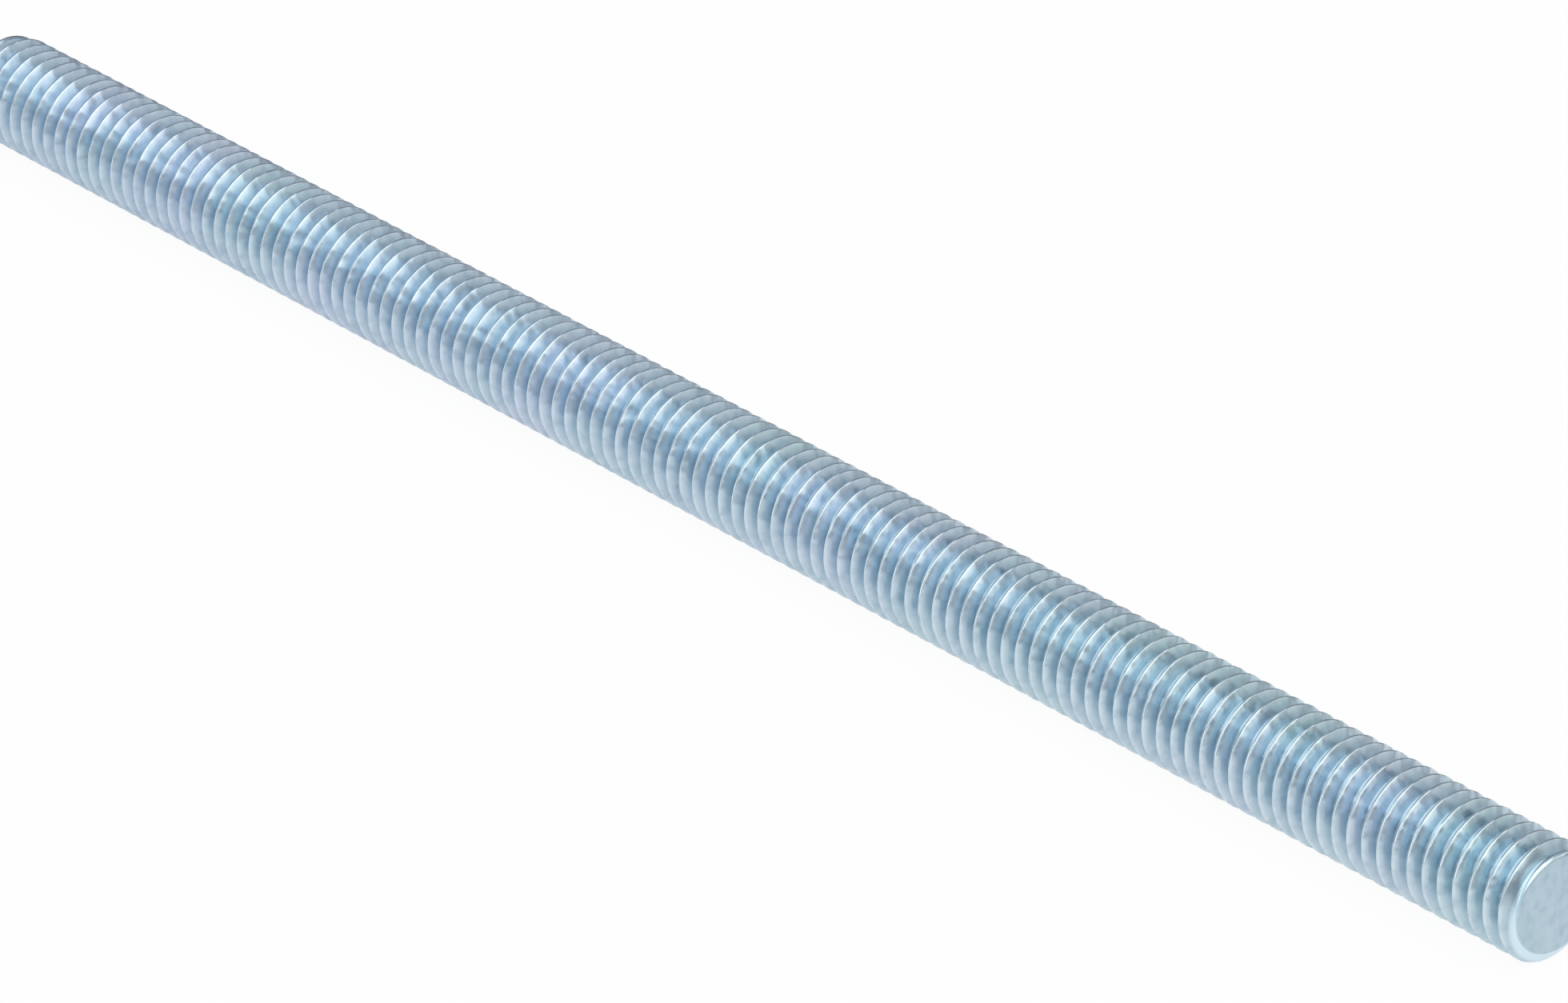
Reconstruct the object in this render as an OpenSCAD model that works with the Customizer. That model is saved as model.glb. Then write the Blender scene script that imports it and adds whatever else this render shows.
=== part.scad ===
// Fully threaded metric rod, M6 with a 1 mm pitch, right-hand, with a chamfer at both ends.
// The rod lies along +X. Its first end face is at x = 0, centred on the origin.

/* [Rod] */
// Length over both end faces
rod_length = 119.3; // [40:0.1:150]
// Diameter over the crests of the thread
major_d = 6; // [5:0.1:8]

/* [Thread] */
// Advance along the rod in one turn
pitch = 1; // [0.8:0.05:1.25]
// Angle between the two flanks of a groove
flank_angle = 60; // [50:1:60]
// Angle about the rod, from +Y towards +Z, at which a crest meets the plane x = 0
start_angle = 345; // [0:5:355]

/* [Ends] */
// Height of each end chamfer, measured inwards from the crests
chamfer_depth = 0.45; // [0:0.05:0.8]
// Angle between each chamfer and the rod's axis
chamfer_angle = 45; // [30:5:60]

/* [Hidden] */
zinc_plate = [0.65, 0.74, 0.80];

// The metric profile: a flat crest an eighth of the pitch wide, and the groove depth of an
// external thread with rolled roots.
crest_width = pitch / 8;
groove_depth = 0.61343 * pitch;
flank_width = groove_depth * tan(flank_angle / 2);
root_width = pitch - crest_width - 2 * flank_width;

crest_r = major_d / 2;
root_r = crest_r - groove_depth;
face_r = crest_r - chamfer_depth;

// Corners of one pitch of the profile, as [distance along the rod, radius], from the middle
// of a crest.
profile = [
    [-crest_width / 2, crest_r],
    [crest_width / 2, crest_r],
    [crest_width / 2 + flank_width, root_r],
    [crest_width / 2 + flank_width + root_width, root_r]
];
corners = len(profile);

// The profile is swept about the axis in equal steps. A turn has a multiple of four, so that
// the crests reach the full diameter along Y and Z, and as many as the triangles allow.
triangle_limit = 12000;
turns = rod_length / pitch;
steps = max(8, 4 * floor(triangle_limit / (2 * corners * turns) / 4));

// The sweep starts and stops this many turns beyond the end faces, and has one row a step.
spare_turns = 2;
rows = steps * ceil(turns + 2 * spare_turns);

function step_angle(i) = 360 * i / steps;

// Middle of the crest in row i. The helix advances one pitch in a turn.
function crest_x(i) = (i / steps - start_angle / 360 - spare_turns) * pitch;

function corner_x(i, k) = crest_x(i) + profile[k][0];

// Radius of the thread at a distance u along the rod from the middle of a crest.
function thread_r(u) = lookup(abs(u - pitch * round(u / pitch)), [
    [crest_width / 2, crest_r],
    [crest_width / 2 + flank_width, root_r]
]);

// Radius of the end chamfers at x.
function chamfer_r(x) = face_r + min(x, rod_length - x) * tan(chamfer_angle);

function around(x, r, angle) = [x, r * cos(angle), r * sin(angle)];

// Corner k of row i, brought in under the chamfers.
function corner(i, k) =
    let (x = corner_x(i, k))
    around(x, min(profile[k][1], chamfer_r(x)), step_angle(i));

// Rim of the end face at x, notched where the groove runs out through it.
function rim(x) = [
    for (i = [0:steps - 1])
        around(x, min(thread_r(x - crest_x(i)), face_r), step_angle(i))
];

// Index of corner k of row i in the list of points. After its last corner a row goes on to the
// one a turn later, and what lies beyond an end face is drawn in to the rim of that face.
first_rim = corners * (rows + 1);
function index(i, k) =
    k >= corners ? index(i + steps, k - corners)
    : corner_x(i, k) <= 0 ? first_rim + i % steps
    : corner_x(i, k) >= rod_length ? first_rim + steps + i % steps
    : corners * i + k;

function is_triangle(t) = t[0] != t[1] && t[1] != t[2] && t[2] != t[0];

thread_points = [for (i = [0:rows]) for (k = [0:corners - 1]) corner(i, k)];
thread_faces = [
    for (i = [0:rows - steps - 1])
        for (k = [0:corners - 1])
            for (t = [
                [index(i, k), index(i, k + 1), index(i + 1, k + 1)],
                [index(i, k), index(i + 1, k + 1), index(i + 1, k)]
            ])
                if (is_triangle(t)) t
];
end_faces = [
    [for (i = [0:steps - 1]) first_rim + i],
    [for (i = [0:steps - 1]) first_rim + 2 * steps - 1 - i]
];

module threaded_rod() {
    color(zinc_plate)
        polyhedron(
            points = concat(thread_points, rim(0), rim(rod_length)),
            faces = concat(thread_faces, end_faces)
        );
}

threaded_rod();
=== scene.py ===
"""Looks of a fully threaded, zinc-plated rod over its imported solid. Lengths are in metres."""
import math

import bpy
import numpy as np
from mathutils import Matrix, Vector

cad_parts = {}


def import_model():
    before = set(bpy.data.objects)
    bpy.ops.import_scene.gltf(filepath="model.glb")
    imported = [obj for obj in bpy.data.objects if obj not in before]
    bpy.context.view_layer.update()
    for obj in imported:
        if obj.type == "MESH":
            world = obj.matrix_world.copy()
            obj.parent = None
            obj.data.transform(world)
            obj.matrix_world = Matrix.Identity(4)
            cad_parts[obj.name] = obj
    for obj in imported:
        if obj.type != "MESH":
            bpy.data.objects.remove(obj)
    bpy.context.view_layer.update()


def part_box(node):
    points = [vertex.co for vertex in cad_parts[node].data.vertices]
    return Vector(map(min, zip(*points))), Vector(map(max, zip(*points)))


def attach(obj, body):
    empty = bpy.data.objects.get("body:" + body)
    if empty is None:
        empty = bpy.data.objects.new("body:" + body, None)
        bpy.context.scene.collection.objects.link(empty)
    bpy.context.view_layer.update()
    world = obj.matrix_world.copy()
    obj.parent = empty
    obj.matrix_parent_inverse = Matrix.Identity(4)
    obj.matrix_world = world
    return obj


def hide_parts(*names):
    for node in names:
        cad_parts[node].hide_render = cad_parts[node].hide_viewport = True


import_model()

MM = 0.001
RNG = np.random.default_rng(6)

# ---- Measures of the rod ----

low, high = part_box("threaded_rod")
LENGTH = high.x - low.x
CREST_R = (high.z - low.z) / 2

PITCH = 1.0 * MM
GROOVE_DEPTH = 0.61343 * PITCH
CREST_WIDTH = PITCH / 8
FLANK_SLOPE = 60                 # degrees between a flank and the axis
ROOT_ROUND = 0.144 * PITCH       # radius at the bottom of the groove
CREST_ROUND = 0.07 * PITCH       # radius at the two edges of a crest
START_ANGLE = 345                # degrees from +Y towards +Z, where a crest meets the plane x = 0

CHAMFER_DEPTH = 0.45 * MM        # at 45 degrees
RIM_ROUND = 0.16 * MM            # radius between a chamfer and its end face
RUN_OUT_ROUND = 0.05 * MM        # reach of the rounding between the thread and a chamfer

CREST_LOSS = 0.012 * MM          # most that the rolling leaves a crest short of its height
CREST_SEAM = 0.02 * MM           # most depth of the fold that rolling leaves along a crest

ROOT_POINTS, EDGE_POINTS = 3, 4  # of the arcs in half a root and at a crest's edge
STEPS = 48                       # rows of the sweep in one turn
SPARE_TURNS = 2                  # that the sweep runs past each end face
LOSS_REACH = STEPS // 6          # rows over which the crest's height changes
SEAM_REACH = STEPS // 4          # rows over which the fold's depth changes
RIM_ANGLES = np.radians([45, 22.5, 0])  # along a rim's arc, from the chamfer to the end face
FACE_RINGS = np.array([0.7, 0.4, 0])    # shares of the end face's radius

# ---- Finish, with painted shade in the grooves ----

ZINC_BLUE = (0.57, 0.69, 0.77, 1)
ZINC_GREEN = (0.55, 0.71, 0.75, 1)      # in clouds over the blue
ZINC_VIOLET = (0.61, 0.68, 0.80, 1)     # in other clouds
# In the grooves this tint is painted shade; in spots and saw marks it is the zinc's own dull tone.
ZINC_DULL_AND_GROOVE_SHADE = (0.28, 0.43, 0.54, 1)       # down in the grooves, in spots and in the saw's marks
ZINC_WORN = (0.66, 0.78, 0.85, 1)       # on the crests
ZINC_CUT = (0.69, 0.85, 0.93, 1)        # on the chamfers
FIRST_END_CAST = (0.97, 0.955, 1.01, 1)     # what the tints are multiplied by at the first end

# The first share is painted shade in the grooves; the other two are the zinc's own dull tone.
GROOVE_SHADE, SPOT_DULL, SAW_DULL = 0.65, 0.4, 0.4       # shares of the dull tint
CLOUD = 0.85                     # most share of a cloud's tint
WEAR = 0.8                       # share of the worn tint on a crest

# Where each begins and is full. A height is a share of the groove's depth.
CREST_HEIGHTS = (0.8, 0.97)
GROOVE_HEIGHTS = (0.95, 0.1)
SAWN_GAPS = (0.04 * MM, 0.01 * MM)      # distances from an end face
CLOUD_NOISE = (0.45, 0.7)
SPOT_NOISE = (0.4, 0.75)
CHAMFER_FADE = 0.08 * MM         # how softly the thread's finish gives way to the chamfer's

GREEN_CLOUDS, VIOLET_CLOUDS = 130, 170                  # cells of the patterns in a metre
SPOTS, GRAIN, PITS, SAW_LINES = 1400, 2500, 6000, 4500
SAW_STROKE = (0, 1, 0.04)        # shares of SAW_LINES along X, Y and Z: the marks run along Z
DENTS = 0.9                      # cells in a pitch, along the thread and across it alike
LINES = (0.3, 30, 1)             # cells in a pitch, along the thread and across it

DENT_DEPTH = 0.15 * MM
LINE_DEPTH = 0.0015 * MM
PIT_DEPTH = 0.004 * MM
SAW_DEPTH = 0.012 * MM

ROUGHNESS = 0.24
GRAIN_ROUGHNESS, SAWN_ROUGHNESS, CREST_ROUGHNESS = 0.12, 0.12, -0.05    # added to it


# ---- Thread ----

def arc(centre, radius, start, stop, count):
    """Points of an arc, centre + radius (sin a, cos a), for count angles a from start to stop."""
    a = np.radians(np.linspace(start, stop, count))
    return np.stack([centre[0] + radius * np.sin(a), centre[1] + radius * np.cos(a)], axis=1)


def thread_profile():
    """One pitch of the thread as points (distance along the rod, radius), from root to root.

    Half of it is an arc in the root, a straight flank, an arc at the crest's edge and the middle
    of the crest, each tangent to the next. The other half is its mirror image.
    """
    root_centre = (-PITCH / 2, CREST_R - GROOVE_DEPTH + ROOT_ROUND)
    root = arc(root_centre, ROOT_ROUND, 180, 180 - FLANK_SLOPE, ROOT_POINTS)
    edge_length = CREST_ROUND * math.tan(math.radians(FLANK_SLOPE / 2))
    edge_centre = (edge_length - CREST_WIDTH / 2, CREST_R - CREST_ROUND)
    edge = arc(edge_centre, CREST_ROUND, -FLANK_SLOPE, 0, EDGE_POINTS)
    flank = (root[-1:] + edge[:1]) / 2
    half = np.concatenate([root, flank, edge])
    middle = [(0, CREST_R)]
    return np.concatenate([half, middle, half[::-1] * (-1, 1)])


def ripple(count, reach):
    """Random heights from 0 to 1, each a weighted mean of its neighbours up to reach away."""
    heights = np.convolve(RNG.normal(size=count + 2 * reach), np.hanning(2 * reach + 1), "valid")
    return (heights - heights.min()) / np.ptp(heights)


def rounded_min(a, b, reach):
    """The smaller of two heights, with their crossing rounded where they differ by under reach."""
    share = np.clip(0.5 + (b - a) / (2 * reach), 0, 1)
    return a * share + b * (1 - share) - reach * share * (1 - share)


# ---- Skin of the rod ----

def around(x, radius, angle):
    """Points at x, radius from the axis, and angle about it from +Y towards +Z."""
    return np.stack(np.broadcast_arrays(x, radius * np.cos(angle), radius * np.sin(angle)), axis=-1)


def grid_triangles(number, uv):
    """Two triangles for each cell of a grid of point numbers, with the uv of every corner.

    Of the triangles in a cell whose corners partly run together, those with no area are left out.
    """
    corners = [np.s_[:-1, :-1], np.s_[1:, :-1], np.s_[1:, 1:], np.s_[:-1, 1:]]
    halves = [[0, 1, 2], [0, 2, 3]]
    cells = np.stack([number[c] for c in corners], axis=-1)
    cell_uvs = np.stack([uv[c] for c in corners], axis=-2)
    triangles = cells[..., halves].reshape(-1, 3)
    uvs = cell_uvs[..., halves, :].reshape(-1, 3, 2)
    whole = (triangles != np.roll(triangles, 1, axis=1)).all(axis=1)
    return triangles[whole], uvs[whole]


def rod_skin():
    """Points, triangles and uvs of the whole rod, one closed surface.

    The profile is swept about +X: row i is at the angle 2 pi i / STEPS, and the middle of its
    crest at PITCH * (i / STEPS - START_ANGLE / 360). A corner's radius is the smaller of the
    profile's and the chamfers', less a random loss that grows as the square of the height over
    the root, and the random fold in the middle of the crest. The last corner of a row is the
    first of the row one turn on. What would lie past an end face is drawn in to the rim point at
    its angle. From the rim, rings roll over an arc onto the end face and close in its middle. A
    uv is (turns, pitches across), or (turns, share of the radius) on an end face.
    """
    profile = thread_profile()
    rim_x = RIM_ROUND * (1 - math.cos(RIM_ANGLES[0]))

    def cut_radius(x, crest_x):
        """Radius at x under the thread and both chamfers, where a crest's middle is at crest_x."""
        across = ((x - crest_x) / PITCH + 0.5) % 1 - 0.5
        thread_r = np.interp(across * PITCH, profile[:, 0], profile[:, 1])
        chamfer_r = CREST_R - CHAMFER_DEPTH + np.minimum(x, LENGTH - x)
        return rounded_min(thread_r, chamfer_r, RUN_OUT_ROUND)

    def end_face(end_x, inward, next_number):
        """Points, numbers and uvs of the rings from one rim to the middle of its end face."""
        turn = np.arange(STEPS)[:, None] / STEPS
        rim_r = cut_radius(end_x + inward * rim_x, PITCH * (turn - START_ANGLE / 360))
        rolled_r = rim_r - RIM_ROUND * (math.sin(RIM_ANGLES[0]) - np.sin(RIM_ANGLES))
        radius = np.concatenate([rolled_r, rolled_r[:, -1:] * FACE_RINGS], axis=1)
        depth = np.concatenate([RIM_ROUND * (1 - np.cos(RIM_ANGLES)), 0 * FACE_RINGS])
        number = next_number + np.arange(radius.size).reshape(radius.shape)
        number[:, -1] = number[0, -1]
        uv = np.stack(np.broadcast_arrays(turn, radius / CREST_R), axis=-1)
        closed = np.arange(STEPS + 1) % STEPS
        points = around(end_x + inward * depth, radius, 2 * np.pi * turn)
        return points, number[closed], uv[closed]

    row = np.arange(math.ceil(LENGTH / PITCH + 2 * SPARE_TURNS) * STEPS + 1)[:, None]
    crest_x = PITCH * (row / STEPS - SPARE_TURNS - START_ANGLE / 360)
    x = np.clip(crest_x + profile[:, 0], rim_x, LENGTH - rim_x)
    radius = cut_radius(x, crest_x)
    rise = ((radius - profile[0, 1]) / GROOVE_DEPTH) ** 2
    radius -= rise * CREST_LOSS * ripple(len(row), LOSS_REACH)[:, None]
    radius[:, len(profile) // 2] -= CREST_SEAM * ripple(len(row), SEAM_REACH)
    thread_points = around(x, radius, 2 * np.pi * row / STEPS)[:, :-1].reshape(-1, 3)
    uv = np.stack(np.broadcast_arrays(row / STEPS, (x - crest_x) / PITCH), axis=-1)

    first_points, first_number, first_uv = end_face(0, 1, len(thread_points))
    next_number = len(thread_points) + first_points[..., 0].size
    second_points, second_number, second_uv = end_face(LENGTH, -1, next_number)

    corners = len(profile) - 1
    number = row * corners + np.arange(corners + 1)
    number[:, -1] = (row[:, 0] + STEPS) * corners
    number = np.where(x <= rim_x, first_number[row % STEPS, 0], number)
    number = np.where(x >= LENGTH - rim_x, second_number[row % STEPS, 0], number)

    parts = [
        grid_triangles(first_number[:, ::-1], first_uv[:, ::-1]),
        grid_triangles(number, uv),
        grid_triangles(second_number, second_uv),
    ]
    ends = first_points.reshape(-1, 3), second_points.reshape(-1, 3)
    points = np.concatenate([thread_points, *ends])
    triangles = np.concatenate([part[0] for part in parts])
    uvs = np.concatenate([part[1] for part in parts])
    used, triangles = np.unique(triangles, return_inverse=True)
    return points[used] + (low.x, 0, (low.z + high.z) / 2), triangles.reshape(-1, 3), uvs


def rod_piece(material):
    """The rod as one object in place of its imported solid."""
    points, triangles, uvs = rod_skin()
    mesh = bpy.data.meshes.new("rod_skin")
    mesh.from_pydata(points, [], triangles)
    mesh.uv_layers.new(name="along_thread").uv.foreach_set("vector", uvs.ravel())
    mesh.shade_smooth()
    mesh.materials.append(material)
    piece = bpy.data.objects.new("rod_skin", mesh)
    bpy.context.collection.objects.link(piece)
    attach(piece, "root")
    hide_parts("threaded_rod")


# ---- Materials ----

class Wire:
    """A shader socket in Python expressions, where each operator adds a Math node."""

    def __init__(self, tree, socket=None):
        self.tree, self.socket = tree, socket

    def node(self, kind, settings=None, sockets=None, output=0):
        """An output of a new node that is given its settings, then its sockets' values or links."""
        node = self.tree.nodes.new(kind)
        for name, value in (settings or {}).items():
            setattr(node, name, value)
        for name, value in (sockets or {}).items():
            if isinstance(value, Wire):
                self.tree.links.new(value.socket, node.inputs[name])
            else:
                node.inputs[name].default_value = value
        return Wire(self.tree, node.outputs[output])

    def math(self, operation, *values):
        """The result of a Math node."""
        return self.node("ShaderNodeMath", {"operation": operation}, dict(enumerate(values)))

    def __add__(self, other):
        return self.math("ADD", self, other)

    def __mul__(self, other):
        return self.math("MULTIPLY", self, other)

    def __sub__(self, other):
        return self.math("SUBTRACT", self, other)

    def __rsub__(self, other):
        return self.math("SUBTRACT", other, self)

    def __abs__(self):
        return self.math("ABSOLUTE", self)

    __radd__ = __add__
    __rmul__ = __mul__


def fade(value, start, stop):
    """How far a value is from start to stop, from 0 to 1 with soft ends."""
    return value.node("ShaderNodeMapRange", {"interpolation_type": "SMOOTHSTEP"},
                      {"Value": value, "From Min": start, "From Max": stop})


def scaled(vector, scale):
    """A vector with each part multiplied by that of the scale."""
    return vector.node("ShaderNodeVectorMath", {"operation": "MULTIPLY"}, {0: vector, 1: scale})


def noise(vector, scale, detail=1):
    """Soft random cells, about 0.5 on average, with scale of them in a unit of the vector."""
    sockets = {"Vector": vector, "Scale": scale, "Detail": detail}
    return vector.node("ShaderNodeTexNoise", sockets=sockets)


def mixed(share, first, second, blend="MIX"):
    """A colour that is share of the way from the first to the second, or to their blend."""
    settings = {"data_type": "RGBA", "blend_type": blend}
    return share.node("ShaderNodeMix", settings, {0: share, 6: first, 7: second}, output=2)


def zinc_material():
    """Bright zinc over rolled steel, cloudy in tint, lined along the thread, sawn on its ends, with
    painted shade in its grooves.
    """
    material = bpy.data.materials.new("bright_zinc")
    material.use_nodes = True
    tree = material.node_tree
    shader = tree.nodes["Principled BSDF"]
    wire = Wire(tree)
    place = wire.node("ShaderNodeTexCoord", output="Object")
    x, y, z = [wire.node("ShaderNodeSeparateXYZ", sockets={0: place}, output=axis)
               for axis in range(3)]
    turns_and_pitches = wire.node("ShaderNodeUVMap", {"uv_map": "along_thread"})
    along = scaled(turns_and_pitches, (2 * math.pi * CREST_R / PITCH, 1, 0))

    height = (wire.math("SQRT", y * y + z * z) - (CREST_R - GROOVE_DEPTH)) * (1 / GROOVE_DEPTH)
    crest = fade(height, *CREST_HEIGHTS)
    groove = fade(height, *GROOVE_HEIGHTS)
    from_end = LENGTH / 2 - abs(x - LENGTH / 2)
    sawn = fade(from_end, *SAWN_GAPS)
    from_chamfer = from_end - CHAMFER_DEPTH
    rolled = fade(from_chamfer, -CHAMFER_FADE, CHAMFER_FADE)
    chamfer = (1 - rolled) * (1 - sawn)

    mirrored = scaled(place, (1, -1, 1))    # so that the clouds of each tint lie on their own
    green = fade(noise(place, GREEN_CLOUDS), *CLOUD_NOISE)
    violet = fade(noise(mirrored, VIOLET_CLOUDS), *CLOUD_NOISE)
    spots = fade(noise(place, SPOTS, detail=2), *SPOT_NOISE)
    grain = noise(place, GRAIN, detail=2)
    saw_marks = noise(scaled(place, SAW_STROKE), SAW_LINES, detail=2) * sawn

    tint = mixed(green * CLOUD, ZINC_BLUE, ZINC_GREEN)
    tint = mixed(violet * CLOUD, tint, ZINC_VIOLET)
    # Painted shade: the grooves are darkened towards the dull tint, as where little light reaches.
    tint = mixed(groove * rolled * GROOVE_SHADE, tint, ZINC_DULL_AND_GROOVE_SHADE)
    tint = mixed(saw_marks * SAW_DULL, tint, ZINC_DULL_AND_GROOVE_SHADE)
    tint = mixed(crest * WEAR, tint, ZINC_WORN)
    tint = mixed(spots * SPOT_DULL, tint, ZINC_DULL_AND_GROOVE_SHADE)
    tint = mixed(chamfer, tint, ZINC_CUT)
    tint = mixed(1 - fade(x, 0, LENGTH), tint, FIRST_END_CAST, "MULTIPLY")
    tree.links.new(tint.socket, shader.inputs["Base Color"])

    roughness = ROUGHNESS + GRAIN_ROUGHNESS * grain
    roughness = roughness + SAWN_ROUGHNESS * sawn + CREST_ROUGHNESS * crest
    tree.links.new(roughness.socket, shader.inputs["Roughness"])

    dents = (noise(along, DENTS) - 0.5) * fade(from_chamfer, 0, PITCH) * DENT_DEPTH
    lines = noise(scaled(along, LINES), 1, detail=2) * rolled * LINE_DEPTH
    pits = noise(place, PITS, detail=2) * PIT_DEPTH
    relief = dents + lines + pits + saw_marks * SAW_DEPTH
    normal = wire.node("ShaderNodeBump", sockets={"Height": relief, "Distance": 1})
    tree.links.new(normal.socket, shader.inputs["Normal"])
    shader.inputs["Metallic"].default_value = 1
    return material


# ---- Studio ----

FLOOR_SIZE = 20
FLOOR_GLOW = 0.95                # share of its own white that the camera sees in the floor
MIRROR_GLOW = (0.60, 0.79)       # and that the metal sees, by the rod's first end and its second
PAPER = (0.9, 0.9, 0.9, 1)       # the floor's colour under the lamps
WHITE = (1, 1, 1, 1)

# The tent's level, where 1 is white: its mean, and how much more it is on its brighter side.
# Azimuths are from +X towards +Y, in degrees.
SURROUND = 0.37
BRIGHTER = 0.18
BRIGHTER_AZIMUTH = 222
TENT_TINT = (0.94, 1, 1.09, 1)
LAMP_TINT = (0.985, 1, 0.95)

VIEW_POINT = Vector((low.x + 0.5486 * LENGTH, -0.32 * MM, 0))   # that the camera looks at
VIEW_AZIMUTH = -40.93            # of the camera from that point
VIEW_ELEVATION = 27.41
VIEW_DISTANCE = 458.04 * MM
LENS = 210.75


def floor_material():
    """White paper that the camera and the metal see as white, with the rod's shadow faint on it."""
    material = bpy.data.materials.new("white_paper")
    material.use_nodes = True
    tree = material.node_tree
    tree.nodes.remove(tree.nodes["Principled BSDF"])
    wire = Wire(tree)
    place = wire.node("ShaderNodeTexCoord", output="Object")
    x = wire.node("ShaderNodeSeparateXYZ", sockets={0: place})
    seen = wire.node("ShaderNodeLightPath", output="Is Camera Ray")
    mirrored = wire.node("ShaderNodeLightPath", output="Is Glossy Ray")
    through = wire.node("ShaderNodeLightPath", output="Is Transmission Ray")
    mirror_glow = MIRROR_GLOW[0] + (MIRROR_GLOW[1] - MIRROR_GLOW[0]) * fade(x, 0, LENGTH)
    paper = wire.node("ShaderNodeBsdfDiffuse", sockets={"Color": PAPER})
    glow = wire.node("ShaderNodeEmission", sockets={"Color": WHITE, "Strength": 1})
    share = seen * FLOOR_GLOW + (mirrored + through) * mirror_glow
    mix = wire.node("ShaderNodeMixShader", sockets={0: share, 1: paper, 2: glow})
    tree.links.new(mix.socket, tree.nodes["Material Output"].inputs["Surface"])
    return material


def floor():
    """A flat sheet that the rod lies on."""
    half = FLOOR_SIZE / 2
    outline = [(-half, -half), (half, -half), (half, half), (-half, half)]
    mesh = bpy.data.meshes.new("floor")
    mesh.from_pydata([(x, y, low.z) for x, y in outline], [], [(0, 1, 2, 3)])
    mesh.materials.append(floor_material())
    sheet = bpy.data.objects.new("floor", mesh)
    bpy.context.collection.objects.link(sheet)


def toward(azimuth, elevation):
    """Unit vector at an azimuth from +X towards +Y and an elevation over the floor, in degrees."""
    a, e = math.radians(azimuth), math.radians(elevation)
    return Vector((math.cos(a) * math.cos(e), math.sin(a) * math.cos(e), math.sin(e)))


def world():
    """A soft white tent, brighter on one side, that the camera sees as white."""
    surround = bpy.data.worlds.new("tent")
    surround.use_nodes = True
    tree = surround.node_tree
    wire = Wire(tree)
    direction = wire.node("ShaderNodeTexCoord", output="Generated")
    seen = wire.node("ShaderNodeLightPath", output="Is Camera Ray")
    vectors = {0: direction, 1: toward(BRIGHTER_AZIMUTH, 0)}
    side = wire.node("ShaderNodeVectorMath", {"operation": "DOT_PRODUCT"}, vectors, output=1)
    level = SURROUND + BRIGHTER * side
    background = tree.nodes["Background"]
    background.inputs["Color"].default_value = TENT_TINT
    tree.links.new((level + seen * (1 - level)).socket, background.inputs["Strength"])
    bpy.context.scene.world = surround


def softbox(name, azimuth, elevation, width, height, level):
    """A lamp 1 m away that faces the rod. Its level is how bright it looks, where 1 is white."""
    data = bpy.data.lights.new(name, "AREA")
    data.shape = "RECTANGLE"
    data.size, data.size_y = width, height
    data.energy = math.pi * width * height * level
    data.color = LAMP_TINT
    lamp = bpy.data.objects.new(name, data)
    direction = toward(azimuth, elevation)
    lamp.location = Vector((LENGTH / 2, 0, 0)) + direction
    lamp.rotation_mode = "QUATERNION"
    lamp.rotation_quaternion = direction.to_track_quat("Z", "Y")
    bpy.context.collection.objects.link(lamp)


def camera():
    """A long lens that looks down the rod from its second end."""
    back = toward(VIEW_AZIMUTH, VIEW_ELEVATION)
    data = bpy.data.cameras.new("camera")
    data.lens = LENS
    data.clip_end = FLOOR_SIZE
    view = bpy.data.objects.new("camera", data)
    view.location = VIEW_POINT + back * VIEW_DISTANCE
    view.rotation_mode = "QUATERNION"
    view.rotation_quaternion = back.to_track_quat("Z", "Y")
    bpy.context.collection.objects.link(view)
    bpy.context.scene.camera = view


rod_piece(zinc_material())
floor()
world()
softbox("key", azimuth=345.5, elevation=62, width=1.26, height=1.7, level=1.25)
softbox("side", azimuth=252, elevation=34.3, width=0.41, height=1.34, level=1.25)
softbox("front", azimuth=321, elevation=14, width=0.7, height=0.4, level=0.22)
softbox("fill", azimuth=54.5, elevation=23, width=0.73, height=0.62, level=0.64)
camera()
bpy.context.scene.view_settings.view_transform = "Standard"
